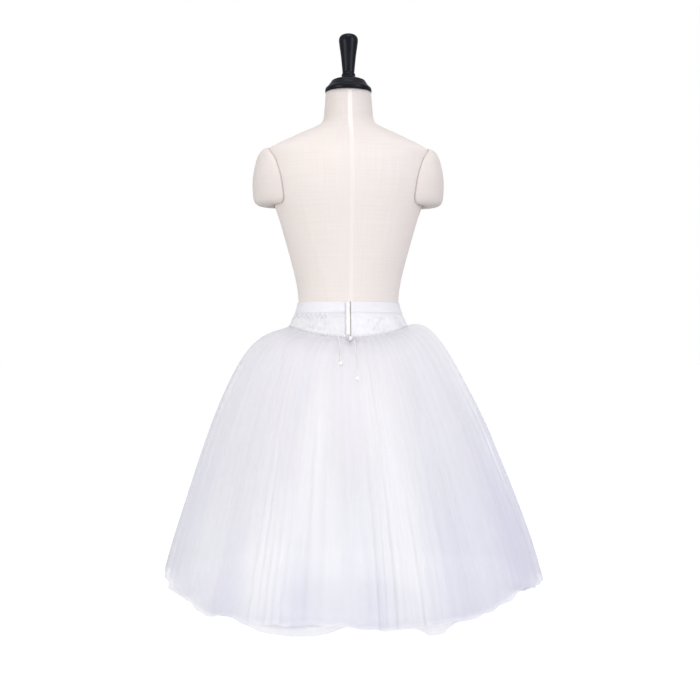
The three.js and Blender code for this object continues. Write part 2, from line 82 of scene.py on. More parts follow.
TIE_LEFT_ROUTE = [
    (-26, -101.5, 585), (-26, -104.5, 583.4), (-25.9, -109, 581.4), (-25.8, -115, 579.8),
    (-25.7, -121, 578.4), (-25.6, -127.5, 576.8), (-25.5, -134, 574.8), (-25.4, -140, 572),
    (-25.3, -146, 568.5), (-25.2, -152.5, 564.8), (-25.1, -160.5, 560.8), (-25, -170, 556),
    (-24.9, -178.7, 551.2), (-24.8, -184.5, 546), (-24.7, -190.3, 541), (-24.6, -197, 535.4),
    (-24.5, -202.9, 530.2),
]
TIE_RIGHT_ROUTE = [
    (7, -103, 580.5), (7, -105.5, 578.6), (7.1, -109.5, 577), (7.1, -116, 575.8),
    (7.2, -123, 574.8), (7.2, -130.5, 573.6), (7.3, -137.5, 572), (7.4, -144, 568.8),
    (7.4, -151, 565.3), (7.5, -159.5, 561.3), (7.6, -168.5, 556.8), (7.6, -178, 551.8),
    (7.7, -184, 546.5), (7.8, -188.5, 541.5), (7.9, -193, 536.5), (8, -197.5, 531.5),
    (8, -202, 526.5), (8.1, -206.5, 521.5), (8.2, -211.5, 516.5), (8.3, -217, 511.5),
    (8.3, -222.6, 506.4), (8.4, -227.1, 500.6),
]

# The sides' puff under the seam, higher on the wearer's right.
PUFF = dict(tilt=7.5, lift=2.5, at=0.06)
HEM_TILT = 5
HEM_WANDER = [(1.5, 3), (1.5, 8)]  # size in mm and waves round the skirt
PEEKING_LAYER = 2
# Broad folds that all layers share: angle and width in degrees, rise in mm at the hem, less than 0
# in a trough.
MAIN_FOLDS = [
    (-166, 8, -7), (-140, 8, -6), (-115, 8, -7), (-92, 7, -5), (-70, 6, -6), (-46, 6, -6),
    (-20, 6, -7), (7, 6, -5), (35, 6.5, -7), (60, 7, -5), (95, 7, -6), (114, 7, -5), (131, 7, -7),
    (156, 8, -5), (178, 6, 4),
]
# Where every layer's hem rises, and where the second layer's shows: angle and width in degrees,
# size in mm.
HEM_LIFTS = [
    (-150, 12, 8), (-118, 9, -6), (-84, 7, 13), (-68, 5, -9), (-48, 8, -16), (-30, 10, -10),
    (-8, 6, 6), (53, 11, 20), (112, 10, 10), (140, 9, -5),
]
HEM_PEEKS = [(-130, 8, 12), (-18.5, 9.5, 13), (21.5, 6, 16), (95, 6, 9), (150, 9, 13)]

# ---- the tulle's look

# Each layer, outermost first. per_fold and rows: how finely it is drawn; under: inside the outer
# layer at its seam, a third down and at its hem; longer: than the outer layer; deep: fold height at
# seam and hem; lap: how far folds lap over themselves, least and most; cover: the share of light
# that the net stops; flat: the net's width before gathering, in metres.
LAYER_KEYS = ("folds", "per_fold", "rows", "under", "longer", "deep", "lap", "cover", "flat")
LAYER_ROWS = [
    (62, 16, 84, (0, 0, 0), 0, (1.3, 5.2), (0, 0.28), 0.46, 2.6),
    (46, 14, 52, (8.5, 12, 13.5), 0, (1.1, 4.5), (0, 0.25), 0.4, 2.4),
    (44, 12, 44, (17, 24, 26), -2, (1.1, 4.5), (0, 0.35), 0.37, 2.3),
    (42, 12, 40, (25.5, 36, 38.5), -6, (1.1, 4.5), (0, 0.35), 0.37, 2.2),
]
TULLE_LAYERS = [dict(zip(LAYER_KEYS, row)) for row in LAYER_ROWS]
NET_LENGTH = 650  # down the cloth
NET_CELL = 0.0017  # metres across one mesh of the net
SOFTNESS = 0.9  # how far the net's shading follows the skirt's form and not its small folds

# Narrower folds, ridges and troughs between the broad ones: angle and width in degrees, rise in mm
# at the hem before FINE_SHARE is taken of it.
FINE_SHARE = 0.45
FINE_FOLDS = [
    (-172, 3, 3), (-158, 2.5, 3), (-149, 3, -4), (-131, 3, 4), (-122, 2.5, -3), (-105, 3, 3),
    (-99, 2.5, -3), (-80, 4, 4), (-76, 2, -3), (-62, 3, 3), (-57, 2, -4), (-50, 2, 3), (-41, 2, -4),
    (-38, 1.5, 3), (-33, 1.8, -3), (-27, 3, 3.5), (-14, 1.6, 3), (-10, 2.2, -4), (-4, 1.6, 2),
    (1, 1.8, -3), (4.5, 1.4, 2.5), (11, 1.8, -4), (15.5, 2.6, 3.5), (21, 1.6, -3), (27, 2.4, 3),
    (42, 2.4, -3), (47, 3, 3), (54, 2.2, -3), (67, 3, 3), (79, 4, 5), (90, 2.5, -3), (97, 3, 4),
    (116, 3, 3), (122, 2.4, -4), (141, 3, 4), (148, 2.5, -3), (165, 3, 3), (170, 2.4, -4),
]
# Where the outer net hangs calmer: angle and width in degrees, share of its fold height lost.
CALM_PLACES = [(62, 26, 0.45), (-62, 14, 0.2), (150, 24, 0.35)]
# Where the net is thinner: angle and width in degrees, share and its width, share of cover lost.
THIN_PATCH = (-9, 2.4, 0.47, 0.1, 0.08)
# Painted light and painted shade on the net: whiter where light falls, and less than 0 greyer where
# shade falls; where whiter it also lies thicker. Angle and width in degrees, share and its width,
# and how much.
NET_LIGHT_AND_SHADE = [
    (-30, 6, 0.86, 0.18, 0.4), (-15, 6, 0.52, 0.22, 0.75), (13, 7, 0.58, 0.26, 0.8),
    (-14, 5, 0.52, 0.16, 0.35), (12, 6, 0.45, 0.16, 0.3), (-17, 4.5, 0.9, 0.15, -0.5),
    (-20, 75, 1, 0.07, -0.25), (-35, 30, 0.95, 0.1, -0.2), (-24, 3.5, 0.32, 0.16, -0.35),
    (4, 3.5, 0.95, 0.14, -0.35), (-40, 4.5, 0.9, 0.16, -0.35), (29, 7, 0.85, 0.25, -0.45),
    (64, 24, 0.95, 0.5, -0.85), (77, 9, 0.5, 0.25, -0.6), (-75, 14, 0.7, 0.6, -0.35),
    (120, 9, 0.7, 0.3, 0.4), (152, 6, 0.5, 0.25, -0.3), (-120, 8, 0.8, 0.25, 0.4),
    (-155, 7, 0.45, 0.25, -0.3), (178, 8, 0.75, 0.25, 0.4),
]

# ---- curves


def lengths_along(points):
    """The length from the first of some points to each."""
    steps = np.linalg.norm(np.diff(points, axis=0), axis=1)
    return np.concatenate([[0], np.cumsum(steps)])


def smooth_line(rows, count=800):
    """A smooth line through rows of numbers, as count rows, with its own length from 0 to 1."""
    points = np.array(rows, float)
    steps = np.sqrt(np.linalg.norm(np.diff(points, axis=0), axis=1))
    knots = np.concatenate([[0], np.cumsum(steps)])
    slopes = np.gradient(points, knots, axis=0)
    at = np.linspace(0, knots[-1], count)
    i = np.clip(np.searchsorted(knots, at, side="right") - 1, 0, len(points) - 2)
    width = (knots[i + 1] - knots[i])[:, None]
    f = (at - knots[i])[:, None] / width
    line = (
        (2 * f**3 - 3 * f**2 + 1) * points[i]
        + (f**3 - 2 * f**2 + f) * width * slopes[i]
        + (3 * f**2 - 2 * f**3) * points[i + 1]
        + (f**3 - f**2) * width * slopes[i + 1]
    )
    lengths = lengths_along(line)
    return line, lengths / lengths[-1]


def resampled(rows, count):
    """count points evenly spaced along the smooth line through rows."""
    line, share = smooth_line(rows)
    at = np.linspace(0, 1, count)
    return np.stack([np.interp(at, share, column) for column in line.T], axis=1)


def lerp(a, b, share):
    return a + (b - a) * share


def bump(distance, width):
    return np.exp(-((distance / width) ** 2))


def turned_from(angle, centre):
    """The angle from centre, between -pi and pi."""
    return (angle - centre + math.pi) % AROUND - math.pi


def smoothstep(low, high, x):
    t = np.clip((x - low) / (high - low), 0, 1)
    return t * t * (3 - 2 * t)


# ---- the form's shape, read from the frame


def rings_of(node):
    """A lofted CAD node's level rings, from the top: height, half-width, back and front depth."""
    points = np.array([v.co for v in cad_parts[node].data.vertices]) / MM
    rows = []
    for height in np.unique(points[:, 2].round(1))[::-1]:
        ring = points[abs(points[:, 2] - height) < 0.06]
        rows.append((height, abs(ring[:, 0]).max(), -ring[:, 1].min(), ring[:, 1].max()))
    return rows


FORM_ROWS = rings_of("form_torso")
FORM_LINE = smooth_line(FORM_ROWS)[0][::-1]
WAIST_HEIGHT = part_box("waistband")[1].z / MM
BAND_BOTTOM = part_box("waistband")[0].z / MM
FORM_FOOT, FORM_TOP = FORM_ROWS[-1][0], FORM_ROWS[0][0]


def form_size(height):
    """The form's half-width, back depth and front depth at a height."""
    return [np.interp(height, FORM_LINE[:, 0], FORM_LINE[:, k]) for k in (1, 2, 3)]


def on_form(angle, height, out=0):
    """Points of the form's surface, moved out by some millimetres."""
    half, back, front = form_size(height)
    depth = np.where(np.cos(angle) > 0, back, front) + out
    parts = np.broadcast_arrays((half + out) * np.sin(angle), -depth * np.cos(angle), height)
    return np.stack(parts, axis=-1)


# ---- meshes


def add_object(name, data):
    made = bpy.data.objects.new(name, data)
    bpy.context.scene.collection.objects.link(made)
    return made


def add_mesh(name, points, faces, uv=None, smooth=True, layers=()):
    """A mesh object from points in millimetres, faces, a UV pair a point and named point values."""
    mesh = bpy.data.meshes.new(name)
    faces = faces if isinstance(faces, list) else faces.tolist()
    mesh.from_pydata((np.asarray(points) * MM).tolist(), [], faces)
    if uv is not None:
        corners = np.zeros(len(mesh.loops), np.int32)
        mesh.loops.foreach_get("vertex_index", corners)
        uv_map = mesh.uv_layers.new(name="cloth")
        uv_map.data.foreach_set("uv", np.asarray(uv, np.float32)[corners].ravel())
    for layer, values in layers:
        made = mesh.attributes.new(layer, "FLOAT", "POINT")
        made.data.foreach_set("value", np.asarray(values, np.float32).ravel())
    if smooth:
        mesh.polygons.foreach_set("use_smooth", np.ones(len(mesh.polygons), bool))
    mesh.update()
    return add_object(name, mesh)


def grid_faces(columns, rows, closed):
    """Quads over points in column order; a closed grid joins its last column to its first."""
    made = columns if closed else columns - 1
    c, r = np.meshgrid(np.arange(made), np.arange(rows - 1), indexing="ij")
    here, after = c * rows + r, (c + 1) % columns * rows + r
    return np.stack([here, here + 1, after + 1, after], axis=-1).reshape(-1, 4)


def grid_uv(across, down):
    """The UV pairs of a grid, in metres."""
    return np.stack(np.broadcast_arrays(across, down), axis=-1)


def add_sheet_mesh(name, grid, closed, uv, layers=()):
    columns, rows = grid.shape[:2]
    faces = grid_faces(columns, rows, closed)
    return add_mesh(name, grid.reshape(-1, 3), faces, uv.reshape(-1, 2), layers=layers)


def solidify(piece, wall):
    """Gives a one-sided cloth mesh its thickness, inwards."""
    made = piece.modifiers.new("wall", "SOLIDIFY")
    made.thickness = wall * MM
    made.offset = -1
    made.use_even_offset = True
    ready = piece.evaluated_get(bpy.context.evaluated_depsgraph_get())
    mesh = bpy.data.meshes.new_from_object(ready)
    piece.modifiers.clear()
    piece.data = mesh
    return piece


def add_loft(name, rings, layers=()):
    """A closed body through level rings, top ring first, with flat ends."""
    grid = np.swapaxes(np.array(rings), 0, 1)
    columns, rows = grid.shape[:2]
    faces = grid_faces(columns, rows, True).tolist()
    faces.append([c * rows for c in range(columns)])
    faces.append([c * rows + rows - 1 for c in reversed(range(columns))])
    uv = grid_uv(np.linspace(0, 1, columns)[:, None], grid[..., 2] * MM)
    return add_mesh(name, grid.reshape(-1, 3), faces, uv.reshape(-1, 2), layers=layers)


def add_turned(name, profile, foot=0.0, segments=96):
    """A body of revolution about the vertical axis, from rows of radius and height above foot."""
    radius, height = np.array(profile, float)[::-1].T
    angles = np.arange(segments) * AROUND / segments
    rings = [
        np.stack([r * np.sin(angles), -r * np.cos(angles), np.full(segments, h)], axis=1)
        for r, h in zip(radius, foot + height)
    ]
    return add_loft(name, rings)


def frames_along(path):
    """Two unit vectors across a path at each of its points, turned as little as may be."""
    tangents = np.gradient(path, axis=0)
    tangents /= np.linalg.norm(tangents, axis=1)[:, None]
    side = np.cross(tangents[0], (0.31, 0.17, 0.93))
    sides = []
    for tangent in tangents:
        side = side - tangent * (side @ tangent)
        side = side / np.linalg.norm(side)
        sides.append(side)
    sides = np.array(sides)
    return sides, np.cross(tangents, sides)


def tube_parts(path, radius, sides=6, twist=0.0, lobes=0, lobe_depth=0.0):
    """Points and faces of a round tube with closed ends; lobes that turn along it make it plied."""
    path = np.asarray(path, float)
    across, up = frames_along(path)
    turn = np.arange(sides) * AROUND / sides
    twisted = turn - lengths_along(path)[:, None] * twist
    radii = np.broadcast_to(radius, len(path))[:, None]
    if lobes:
        radii = radii * (1 - lobe_depth * (1 - np.cos(lobes * twisted)) / 2)
    ring = np.cos(turn)[:, None] * across[:, None] + np.sin(turn)[:, None] * up[:, None]
    points = (path[:, None] + radii[..., None] * ring).reshape(-1, 3)
    faces = []
    count = len(path)
    for i in range(0, (count - 1) * sides, sides):
        for j in range(sides):
            k = (j + 1) % sides
            faces.append([i + j, i + k, i + sides + k, i + sides + j])
    faces.append(list(reversed(range(sides))))
    faces.append([(count - 1) * sides + j for j in range(sides)])
    return points, faces


def add_tubes(name, parts, shade=None):
    """One mesh of many tubes, all of one shade."""
    points, faces, start = [], [], 0
    for some, quads in parts:
        points.append(some)
        faces += [[start + i for i in face] for face in quads]
        start += len(some)
    layers = [("shade", np.full(start, shade))] if shade else ()
    return add_mesh(name, np.concatenate(points), faces, layers=layers)


# ---- materials

BAND_RIB = 0.0021  # metres from rib to rib
BAND_THREAD = 0.0011
# Where the band's upper edge is darkened: a painted shadow.
BAND_TOP_SHADOW = (0.0222, 0.0238)  # metres up the band, between which its upper edge darkens


class Nodes:
    """The node tree of a new material or world, with short calls to add to it."""

    def __init__(self, name, kind=bpy.data.materials, output="ShaderNodeOutputMaterial"):
        self.made = kind.new(name)
        self.made.use_nodes = True
        self.tree = self.made.node_tree
        self.tree.nodes.clear()
        self.output = self.tree.nodes.new(output)

    def add(self, kind, inputs=(), **settings):
        node = self.tree.nodes.new(kind)
        for key, value in settings.items():
            setattr(node, key, value)
        for key, value in dict(inputs).items():
            self.put(node.inputs[key], value)
        return node

    def put(self, socket, value):
        if isinstance(value, bpy.types.NodeSocket):
            self.tree.links.new(value, socket)
        elif isinstance(value, tuple) and len(value) == 3 and socket.type == "RGBA":
            socket.default_value = (*value, 1)
        else:
            socket.default_value = value

    def maths(self, operation, *values, clamp=False):
        node = self.add("ShaderNodeMath", operation=operation, use_clamp=clamp)
        for socket, value in zip(node.inputs, values):
            self.put(socket, value)
        return node.outputs[0]

    def waves(self, value, turns):
        """The sine of turns times a value."""
        return self.maths("SINE", self.maths("MULTIPLY", value, turns))

    def sum_of(self, a, much_a, b, much_b):
        """much_a of a and much_b of b."""
        return self.maths("ADD", *(self.maths("MULTIPLY", *p) for p in ((a, much_a), (b, much_b))))

    def between(self, value, low, high, to_low, to_high):
        inputs = {"Value": value, "From Min": low, "From Max": high}
        inputs.update({"To Min": to_low, "To Max": to_high})
        return self.add("ShaderNodeMapRange", inputs).outputs[0]

    def mix(self, share, a, b):
        inputs = {0: share, 6: a, 7: b}
        return self.add("ShaderNodeMix", inputs, data_type="RGBA").outputs[2]

    def graded(self, value, low, high, a, b, most=1):
        """Colour a where value is low, and this much of b mixed in where it is high."""
        return self.mix(self.between(value, low, high, 0, most), a, b)

    def cloth_uv(self, scale=(1, 1, 1)):
        uv = self.add("ShaderNodeUVMap", uv_map="cloth").outputs[0]
        return self.add("ShaderNodeMapping", {"Vector": uv, "Scale": scale}).outputs[0]

    def place(self, scale=(1, 1, 1)):
        point = self.add("ShaderNodeTexCoord").outputs["Object"]
        return self.add("ShaderNodeMapping", {"Vector": point, "Scale": scale}).outputs[0]

    def axes(self, vector):
        return self.add("ShaderNodeSeparateXYZ", {"Vector": vector}).outputs[:2]

    def noise(self, vector, scale, detail):
        inputs = {"Vector": vector, "Scale": scale, "Detail": detail}
        return self.add("ShaderNodeTexNoise", inputs).outputs[0]

    def value_of(self, name):
        return self.add("ShaderNodeAttribute", attribute_name=name).outputs["Fac"]

    def seen_or_lit(self, seen, lit):
        """A shader that is one to the camera and another to light on its way."""
        camera_ray = self.add("ShaderNodeLightPath").outputs["Is Camera Ray"]
        return self.between_shaders(camera_ray, lit, seen)

    def between_shaders(self, share, a, b):
        return self.add("ShaderNodeMixShader", {0: share, 1: a.outputs[0], 2: b.outputs[0]})

    def finish(self, shader):
        self.tree.links.new(shader.outputs[0], self.output.inputs["Surface"])
        return self.made

    def surface(self, colour, roughness, height, distance=0.0002, strength=0.5, **more):
        """Finishes a material as one opaque surface, bumped by height."""
        bump = {"Height": height, "Distance": distance, "Strength": strength}
        inputs = {"Base Color": colour, "Roughness": roughness}
        inputs["Normal"] = self.add("ShaderNodeBump", bump).outputs[0]
        inputs["Sheen Weight"] = more.get("sheen", 0)
        inputs["Specular IOR Level"] = more.get("specular", 0.5)
        return self.finish(self.add("ShaderNodeBsdfPrincipled", inputs))


def weave(nodes, threads):
    """A plain weave's height: warp and weft that pass over each other, threads a metre."""
    ways = nodes.axes(nodes.cloth_uv())
    return nodes.maths("MULTIPLY", *(nodes.waves(way, threads * math.pi) for way in ways))


def linen_material():
    n = Nodes("linen")
    ways = ((420, 9, 1), (7, 520, 1))
    slub = n.maths("ADD", *(n.noise(n.cloth_uv(way), 1.0, 3) for way in ways))
    colour = n.graded(slub, 0.75, 1.25, (0.785, 0.715, 0.665), (0.838, 0.773, 0.728))
    cloud = n.noise(n.place(), 7.0, 3)
    colour = n.graded(cloud, 0.35, 0.65, colour, (0.84, 0.76, 0.705), 0.3)
    # the shade attribute darkens the linen: painted shade on the torso and arm plates, a darker line
    # on the seams
    colour = n.mix(n.value_of("shade"), colour, (0.16, 0.12, 0.11))
    height = n.sum_of(slub, 0.7, weave(n, 1300), 0.35)
    return n.surface(colour, 0.82, height, 0.00025, 0.6, sheen=0.12)


def lacquer_material():
    n = Nodes("black_lacquer")
    drift = n.noise(n.place((1, 1, 0.25)), 90.0, 2)
    colour = n.graded(drift, 0.3, 0.7, (0.004, 0.005, 0.008), (0.008, 0.01, 0.015))
    rough = n.between(drift, 0.3, 0.7, 0.28, 0.36)
    return n.surface(colour, rough, n.noise(n.place(), 160.0, 2), strength=0.15, specular=0.14)


def enamel_material():
    n = Nodes("white_enamel")
    cloud = n.noise(n.place(), 12.0, 3)
    colour = n.graded(cloud, 0.3, 0.7, (0.86, 0.86, 0.87), (0.92, 0.92, 0.92))
    return n.surface(colour, 0.35, n.noise(n.place(), 420.0, 2), strength=0.2)


def elastic_material():
    """Ribbed elastic: fine ribs along the band, crossed by the covering threads, with painted shade
    in the rib grooves and a painted shadow along its upper edge.
    """
    n = Nodes("band_cloth")
    along, up = n.axes(n.cloth_uv())
    ribs = n.waves(up, AROUND / BAND_RIB)
    threads = n.maths("MULTIPLY", n.waves(along, AROUND / BAND_THREAD), 0.35)
    streak = n.noise(n.cloth_uv((30, 400, 1)), 1.0, 3)
    colour = n.graded(streak, 0.3, 0.7, (0.8, 0.79, 0.812), (0.85, 0.84, 0.858))
    # darker in the ribs' grooves: painted shade
    colour = n.mix(n.between(ribs, -1, 1, 0.1, 0), colour, (0.6, 0.6, 0.66))
    # darker along the upper edge: a painted shadow
    colour = n.graded(up, *BAND_TOP_SHADOW, colour, (0.5, 0.5, 0.55), 0.35)
    return n.surface(colour, 0.75, n.maths("ADD", ribs, threads), sheen=0.15)


def cotton_material(name, light, dark):
    n = Nodes(name)
    ways = ((900, 40, 1), (40, 900, 1))
    threads = n.maths("ADD", *(n.noise(n.cloth_uv(way), 1.0, 2) for way in ways))
    colour = n.graded(n.noise(n.place(), 55.0, 3), 0.3, 0.7, dark, light)
    # darker where the threads' height is low: painted shade in the weave's hollows
    colour = n.mix(n.between(threads, 0.7, 1.3, 0.12, 0), colour, (0.7, 0.69, 0.74))
    # the shade attribute darkens the cloth: painted shade that a piece sets
    colour = n.mix(n.value_of("shade"), colour, (0.28, 0.26, 0.27))
    return n.surface(colour, 0.8, n.sum_of(threads, 0.5, weave(n, 1500), 0.3), sheen=0.15)


def cord_material(name, dark, light):
    n = Nodes(name)
    fibres = n.noise(n.place(), 900.0, 3)
    colour = n.graded(fibres, 0.3, 0.7, dark, light)
    return n.surface(colour, 0.7, fibres, 0.0003, sheen=0.2)


def tape_material():
    n = Nodes("tape")
    fine = n.noise(n.cloth_uv((300, 30, 1)), 1.0, 3)
    colour = n.graded(fine, 0.3, 0.7, (0.825, 0.765, 0.72), (0.85, 0.795, 0.75))
    return n.surface(colour, 0.85, fine)


def tulle_material():
    """Sheer net: cells of fine thread, with cover as the share of light that a place stops."""
    n = Nodes("tulle")
    across, down = n.axes(n.cloth_uv((math.pi / NET_CELL, math.pi / NET_CELL, 1)))
    slants = [n.maths(kind, across, down) for kind in ("ADD", "SUBTRACT")]
    waves = [n.maths("ABSOLUTE", n.maths("SINE", slant)) for slant in slants]
    threads = n.between(n.maths("MINIMUM", *waves), 0, 0.5, 0.12, -0.08)
    cover = n.maths("ADD", n.value_of("cover"), threads, clamp=True)
    # tone mixes greyer and whiter net: random variation, with painted light and painted shade
    colour = n.mix(n.value_of("tone"), (0.913, 0.909, 0.976), (0.994, 0.992, 0.999))
    inputs = {"Base Color": colour, "Roughness": 0.75, "Sheen Weight": 0.1}
    front = n.add("ShaderNodeBsdfPrincipled", {**inputs, "Specular IOR Level": 0.2})
    through = n.add("ShaderNodeBsdfTranslucent", {"Color": colour})
    cloth = n.between_shaders(0.33, front, through)
    return n.finish(n.between_shaders(cover, n.add("ShaderNodeBsdfTransparent"), cloth))


LINEN = linen_material()
LACQUER = lacquer_material()
ENAMEL = enamel_material()
ELASTIC = elastic_material()
BASQUE_COTTON = cotton_material("basque_cloth", (0.855, 0.85, 0.855), (0.77, 0.76, 0.775))
PLACKET_COTTON = cotton_material("placket_cloth", (0.88, 0.88, 0.885), (0.83, 0.83, 0.84))
THREAD = cotton_material("thread", (0.97, 0.97, 0.98), (0.9, 0.895, 0.92))
# a darker copy of the white thread: painted shade on the stitches drawn with it
SHADED_THREAD = cotton_material("shaded_thread", (0.78, 0.77, 0.79), (0.7, 0.69, 0.71))
CORD = cord_material("tie_cord", (0.7, 0.695, 0.68), (0.77, 0.765, 0.75))
# a lighter copy of the cord for its knots: painted light against the shade in their turns
KNOT_CORD_LIT = cord_material("knot_cord_lit", (0.93, 0.915, 0.88), (0.98, 0.975, 0.95))
TAPE = tape_material()
TULLE = tulle_material()


def dress(piece, material, slot, *nodes):
    """Gives a piece its material and the one body, and hides the CAD nodes it stands for; slot is
    not used.
    """
    piece.data.materials.append(material)
    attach(piece, "root")
    if nodes:
        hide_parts(*nodes)
    return piece


# ---- camera, light and floor

CAMERA_DISTANCE = 2.3  # from the form's axis, at the level of its hip
CAMERA_HEIGHT = 0.554
CAMERA_AZIMUTH = math.radians(-2.5)
CAMERA_LENS = 52.56
AXIS_SHIFT = 0.0034  # the form stands this far left of the picture's middle
LAMP_AIM = Vector((0, 0, 0.6))
# Name, place, width, power and colour.
LAMPS = [
    ("key", (-3.3, -2.8, 1.0), 2.4, 76, (0.985, 0.985, 0.995)),
    ("fill", (3.0, -3.0, 2.0), 2.4, 78, (0.93, 0.94, 1)),
    ("top", (0, -1.2, 3.6), 2.8, 36, (1, 1, 1)),
    ("behind", (0.8, 4.0, 1.7), 2.6, 60, (1, 1, 1)),
]


def add_camera():
    data = bpy.data.cameras.new("camera")
    data.lens = CAMERA_LENS
    data.clip_end = 100
    camera = add_object("camera", data)
    right = Vector((math.cos(CAMERA_AZIMUTH), math.sin(CAMERA_AZIMUTH), 0))
    back = Vector((math.sin(CAMERA_AZIMUTH), -math.cos(CAMERA_AZIMUTH), 0))
    level = Vector((0, 0, CAMERA_HEIGHT))
    camera.location = back * CAMERA_DISTANCE + right * AXIS_SHIFT + level
    camera.rotation_euler = (math.pi / 2, 0, CAMERA_AZIMUTH)
    bpy.context.scene.camera = camera


def add_area_light(name, place, size, power, colour):
    data = bpy.data.lights.new(name, "AREA")
    data.shape = "DISK"
    data.size = size
    data.energy = power
    data.color = colour
    light = add_object(name, data)
    light.location = place
    light.rotation_euler = (LAMP_AIM - Vector(place)).to_track_quat("-Z", "Y").to_euler()


def light_scene():
    """A white studio: a white surround to look at, a dimmer one to light by, and soft lamps."""
    n = Nodes("studio", bpy.data.worlds, "ShaderNodeOutputWorld")
    seen = n.add("ShaderNodeBackground", {"Color": (1, 1, 1)})
    lit = n.add("ShaderNodeBackground", {"Color": (0.955, 0.96, 1), "Strength": 0.5})
    scene = bpy.context.scene
    scene.world = n.finish(n.seen_or_lit(seen, lit))
    for lamp in LAMPS:
        add_area_light(*lamp)
    scene.view_settings.view_transform = "Standard"
    scene.cycles.diffuse_bounces = 12
    scene.cycles.transparent_max_bounces = 24


def add_floor():
    """White to look at, with a faint shadow, and grey in the light that it throws back."""
    n = Nodes("floor")
    lit = n.add("ShaderNodeBsdfDiffuse", {"Color": (0.6, 0.6, 0.6)})
    inputs = {"Base Color": (0.16, 0.16, 0.16), "Roughness": 1.0}
    inputs.update({"Emission Color": (1, 1, 1), "Emission Strength": 0.93})
    seen = n.add("ShaderNodeBsdfPrincipled", inputs)
    reach = 30000
    corners = [(x * reach, y * reach, 0) for x, y in ((-1, -1), (1, -1), (1, 1), (-1, 1))]
    floor = add_mesh("floor", corners, [[0, 1, 2, 3]], smooth=False)
    floor.data.materials.append(n.finish(n.seen_or_lit(seen, lit)))


# ---- the ties


def knot_path(count):
    """A trefoil, which is an overhand knot's shape, in a box that reaches 1 to every side."""
    t = np.linspace(0, AROUND, count)
    wide, high = np.sin(t) + 2 * np.sin(2 * t), np.cos(t) - 2 * np.cos(2 * t)
    return np.stack([wide, -1.4 * np.sin(3 * t), high], axis=1) / 3 / np.array([1, 0.47, 1])


def add_knot(name, centre, along, half_long, half_round, thread):
    """A pulled overhand knot on a cord, with a short frayed end past it."""
    turn = np.array(Vector(along).normalized().to_track_quat("Z", "Y").to_matrix())
    size = np.array([half_round, half_round * 0.9, half_long])
    path = knot_path(120) * (size - thread)
    parts = [tube_parts(path @ turn.T + centre, thread, 8, 0.6, 3, 0.16)]
    rng = np.random.default_rng(len(name))
    share = np.linspace(0, 1, 6)[:, None]
    for _ in range(7):
        start = rng.uniform(-0.35, 0.35, 2) * half_round
        splay = rng.uniform(-0.45, 0.45, 2) * half_round
        z = np.linspace(half_long * 0.3, half_long * 0.98, 6)[:, None]
        strand = np.concatenate([start + splay * share**2, z], axis=1)
        parts.append(tube_parts(strand @ turn.T + centre, 0.28, 5))
    return add_tubes(name, parts)


def add_tie(side, route):
    path = resampled(route, 90)
    points, faces = tube_parts(path, TIE_DIAMETER / 2, 12, 0.55, 3, 0.18)
    tie = dress(add_mesh(f"tie_{side}_cord", points, faces), CORD, "tie_cord", f"tie_{side}")
    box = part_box(f"tie_knot_{side}")
    centre = np.array((box[0] + box[1]) / 2) / MM
    knot = add_knot(f"tie_end_knot_{side}", centre, path[-1] - path[-3], 6, 4.4, 1.55)
    dress(knot, KNOT_CORD_LIT, "tie_cord", f"tie_knot_{side}")


# ---- the dress form

SEAM_OUT = 0.02  # the middle of a seam's thread stands this far off the form
WAIST_GAP = (664, 610)  # the form's seams stop above the band and go on under it

# Profiles, bottom first: radius, and height above the neck or the floor.
CAP = [(6, 0.3), (51.4, 0.3), (52.5, 1.6), (52.5, 7.4), (51.6, 9.6), (49.5, 11.6)]
CAP += [*resampled([(49.5, 11.6), (46.5, 14.6), (42.5, 20.2), (41.2, 21.6)], 12)]
CAP += [(40, 22), (39.4, 22.6), (38.8, 25.4), (37.6, 26.8), (33, 28.9), (31, 29.5), (8, 29.5)]
GRIP = [(13.6, 46), (15.2, 64), (17.6, 86), (20.6, 108), (21.6, 117), (20.6, 124), (16, 129.4)]
GRIP += [(8, 132.2), (2, 132.6)]
FINIAL = [(8, 29.8), (20.4, 29.8), (21, 30.6), (20.6, 31.6), (18.5, 33.6), (16.2, 35.6)]
FINIAL += [(15.4, 37.4), (15.8, 39.4), (15.4, 41.4), (14.2, 43.6), *resampled(GRIP, 60)]
BASE = [(2, 0.0), (147.5, 0.0), (149.4, 0.8), (150, 2.4), (150, 6), (149.3, 7.6), (147.5, 8.3)]
BASE += [*resampled([(147.5, 8.3), (110, 9.6), (60, 11.2), (38, 12), (31, 13.6), (28.3, 17)], 30)]
BASE += [(27.6, 20), (26.4, 28), (25.4, 32.4), (24, 34), (2, 34)]


def add_torso():
    """The covered body, its foot's edge rounded, with painted shade in the skirt's opening and at
    the neck.
    """
    columns, rows = 240, 260
    edge = 6
    arc = np.linspace(0.4, 1.57, 5)
    angles = np.arange(columns) * AROUND / columns
    straight = np.linspace(FORM_TOP, FORM_FOOT + edge, rows)
    heights = np.concatenate([straight, FORM_FOOT + edge * np.cos(arc)])
    tuck = np.concatenate([np.zeros(rows), -edge * (1 - np.sin(arc))[::-1]])
    rings = [on_form(angles, h, t) for h, t in zip(heights, tuck)]
    from_back = abs(turned_from(angles, 0))[:, None] * form_size(heights)[0]
    skirt_back = (heights < WAIST_HEIGHT) & (heights > WAIST_HEIGHT - OPENING_LENGTH)
    # painted shade on the form where the skirt's opening shows it
    in_slit = (from_back < OPENING_WIDTH * 0.9) & skirt_back
    # painted shade, growing towards the neck
    neck_shade = 0.12 * smoothstep(FORM_TOP - 150, FORM_TOP - 80, heights)
    torso = add_loft("torso", rings, [("shade", in_slit * 0.08 + neck_shade)])
    dress(torso, LINEN, "linen", "form_torso")


